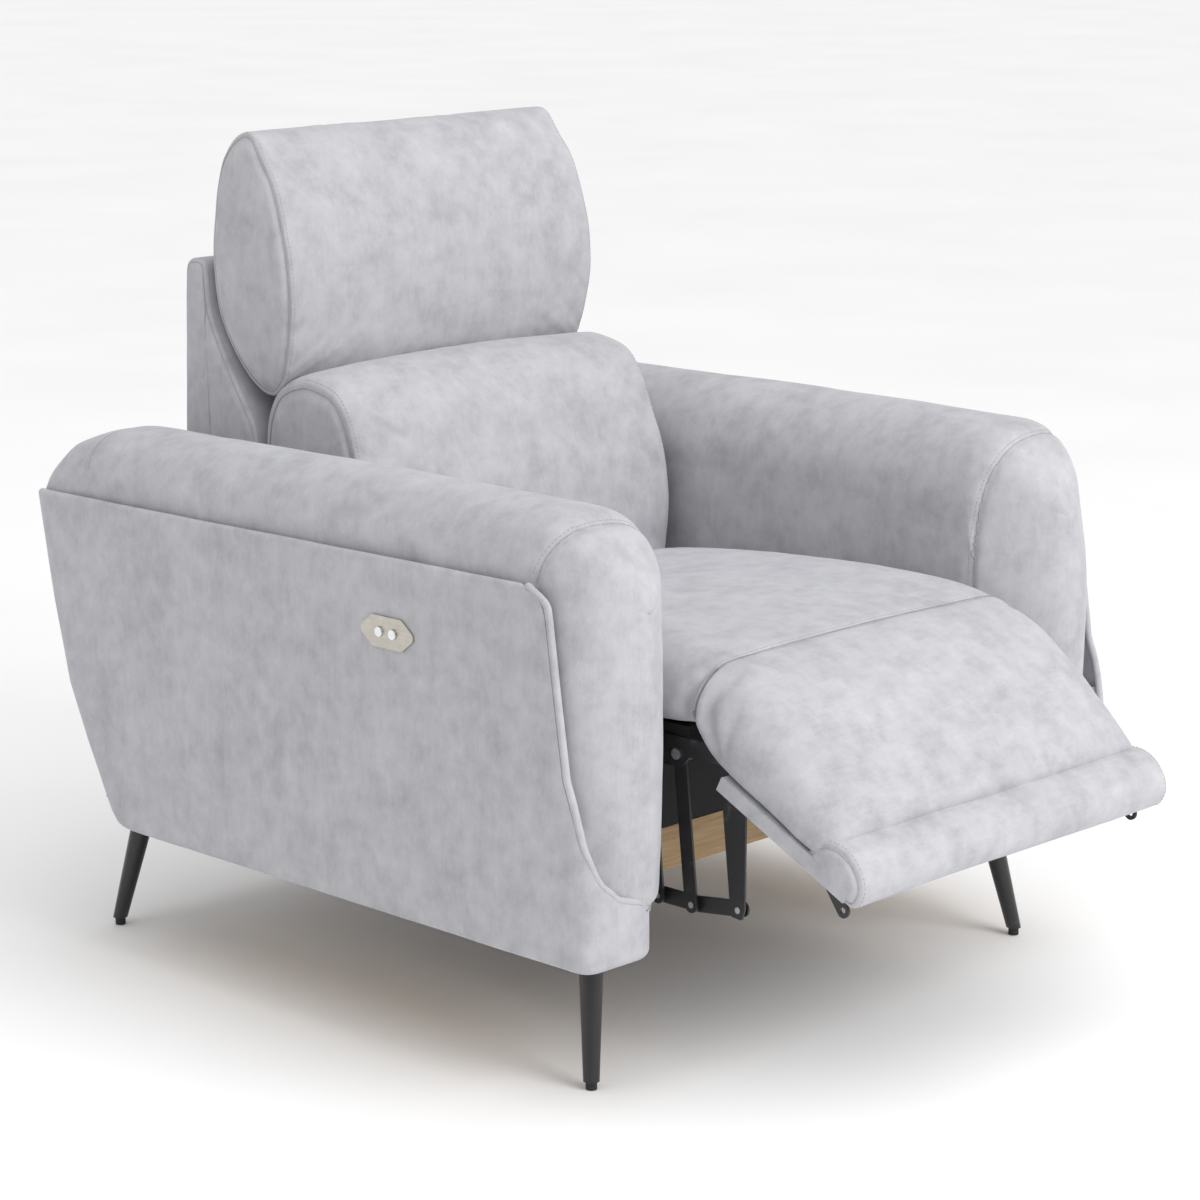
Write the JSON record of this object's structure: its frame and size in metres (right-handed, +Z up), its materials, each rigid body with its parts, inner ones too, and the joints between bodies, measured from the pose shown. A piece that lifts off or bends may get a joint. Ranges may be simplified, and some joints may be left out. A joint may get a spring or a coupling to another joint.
{
  "type": "recliner armchair",
  "caption": "Powered recliner armchair with a hinged padded footrest, reclining back, tilting headrest and splayed metal legs.",
  "frame": {"origin": "centre of the footprint box, on the floor under the glides", "axes": "+Z up, the sitter faces -Y, +X is the sitter's left; 'left' nodes are on -X, as seen from the front; rest pose: footrest half open, back upright"},
  "size_m": [1.006, 1.273, 1.078],
  "materials": {
    "upholstery": "soft brushed suede cloth",
    "plywood": "bare plywood and pine",
    "board_cover": "dark dust cloth over board",
    "leg_metal": "satin black powder coat",
    "glide_plastic": "matt",
    "linkage_steel": "semi-gloss black enamel",
    "zinc": "zinc plated",
    "webbing": "woven elastic",
    "black_plastic": "fine grain",
    "rod_steel": "ground steel",
    "switch_metal": "satin nickel",
    "button_chrome": "polished"
  },
  "bodies": {
    "base": {"left_arm_inner_panel": "plywood", "left_arm_bottom_rail": "plywood", "left_arm_posts": "plywood", "left_arm_top_board": "plywood", "left_arm_shell": "upholstery", "left_arm_pad": "upholstery", "right_arm_inner_panel": "plywood", "right_arm_bottom_rail": "plywood", "right_arm_posts": "plywood", "right_arm_top_board": "plywood", "right_arm_shell": "upholstery", "right_arm_pad": "upholstery", "front_left_leg": "leg_metal", "front_right_leg": "leg_metal", "rear_left_leg": "leg_metal", "rear_right_leg": "leg_metal", "leg_glides": "glide_plastic", "leg_plates": "linkage_steel", "leg_screws": "zinc", "front_rail": "plywood", "rear_rail": "plywood", "left_base_plate": "linkage_steel", "right_base_plate": "linkage_steel", "power_inlet": "black_plastic", "base_rivets": "zinc", "switch_plate": "switch_metal", "switch_case": "black_plastic"},
    "front_swing": {"front_swing_links": "linkage_steel"},
    "rear_swing": {"rear_swing_links": "linkage_steel"},
    "seat": {"left_seat_plate": "linkage_steel", "right_seat_plate": "linkage_steel", "seat_rivets": "zinc", "seat_side_rails": "plywood", "seat_cross_rails": "plywood", "seat_webbing": "webbing", "seat_cushion": "upholstery", "rear_cross_tube": "linkage_steel", "actuator_track": "black_plastic", "drive_motor": "black_plastic"},
    "rod": {"actuator_rod": "rod_steel"},
    "front_crank": {"front_cranks": "linkage_steel", "torque_tube": "linkage_steel"},
    "rear_crank": {"rear_cranks": "linkage_steel"},
    "knee": {"knee_plates": "linkage_steel", "knee_rivets": "zinc"},
    "footrest": {"footrest_brackets": "linkage_steel", "footrest_board": "board_cover", "leg_pad": "upholstery", "footrest_bolster": "upholstery"},
    "back": {"back_posts": "plywood", "back_cross_rails": "plywood", "back_brackets": "linkage_steel", "back_panel": "upholstery", "lumbar_cushion": "upholstery", "headrest_supports": "linkage_steel"},
    "headrest": {"headrest_hinges": "linkage_steel", "headrest_board": "plywood", "headrest_cushion": "upholstery"},
    "open_button": {"open_button": "button_chrome"},
    "close_button": {"close_button": "button_chrome"}
  },
  "joints": [
    {"name": "recline_swing", "type": "hinge", "parent": "base", "child": "front_swing", "pos_m": [0, -0.1225, 0.27], "axis": [1, 0, 0], "range_deg": [0, 35]},
    {"name": "rear_swing_hinge", "type": "hinge", "parent": "base", "child": "rear_swing", "pos_m": [0, 0.23749, 0.27], "axis": [1, 0, 0], "range_deg": [0, 35]},
    {"name": "seat_hinge", "type": "hinge", "parent": "front_swing", "child": "seat", "pos_m": [0, -0.10449, 0.33495], "axis": [-1, 0, 0], "range_deg": [0, 35]},
    {"name": "back_hinge", "type": "hinge", "parent": "seat", "child": "back", "pos_m": [0, 0.3495, 0.33], "axis": [-1, 0, 0], "range_deg": [0, 32]},
    {"name": "footrest_hinge", "type": "hinge", "parent": "seat", "child": "footrest", "pos_m": [0, -0.4125, 0.405], "axis": [-1, 0, 0], "range_deg": [-64, 30]},
    {"name": "front_crank_hinge", "type": "hinge", "parent": "seat", "child": "front_crank", "pos_m": [0, -0.3375, 0.395], "axis": [-1, 0, 0], "range_deg": [-64, 30]},
    {"name": "rear_crank_hinge", "type": "hinge", "parent": "seat", "child": "rear_crank", "pos_m": [0, -0.2825, 0.395], "axis": [-1, 0, 0], "range_deg": [-64, 30]},
    {"name": "knee_hinge", "type": "hinge", "parent": "front_crank", "child": "knee", "pos_m": [0, -0.35759, 0.21009], "axis": [-1, 0, 0], "range_deg": [-30, 64]},
    {"name": "rod_slide", "type": "slide", "parent": "seat", "child": "rod", "axis": [0, -1, 0], "range_m": [-0.0618, 0.029]},
    {"name": "headrest_hinge", "type": "hinge", "parent": "back", "child": "headrest", "pos_m": [0, 0.3925, 0.748], "axis": [1, 0, 0], "range_deg": [0, 28]},
    {"name": "open_button_press", "type": "slide", "parent": "base", "child": "open_button", "axis": [1, 0, 0], "range_m": [0, 0.002], "stiffness_N_per_m": 600},
    {"name": "close_button_press", "type": "slide", "parent": "base", "child": "close_button", "axis": [1, 0, 0], "range_m": [0, 0.002], "stiffness_N_per_m": 600}
  ],
  "couplings": [
    {"joint": "rear_swing_hinge", "follows": "recline_swing", "ratio": 1},
    {"joint": "seat_hinge", "follows": "recline_swing", "ratio": 1},
    {"joint": "back_hinge", "follows": "recline_swing", "ratio": 0.91429},
    {"joint": "front_crank_hinge", "follows": "footrest_hinge", "ratio": 1},
    {"joint": "rear_crank_hinge", "follows": "footrest_hinge", "ratio": 1},
    {"joint": "knee_hinge", "follows": "footrest_hinge", "ratio": -1},
    {"joint": "rod_slide", "follows": "footrest_hinge", "m_per_rad": 0.0552}
  ]
}
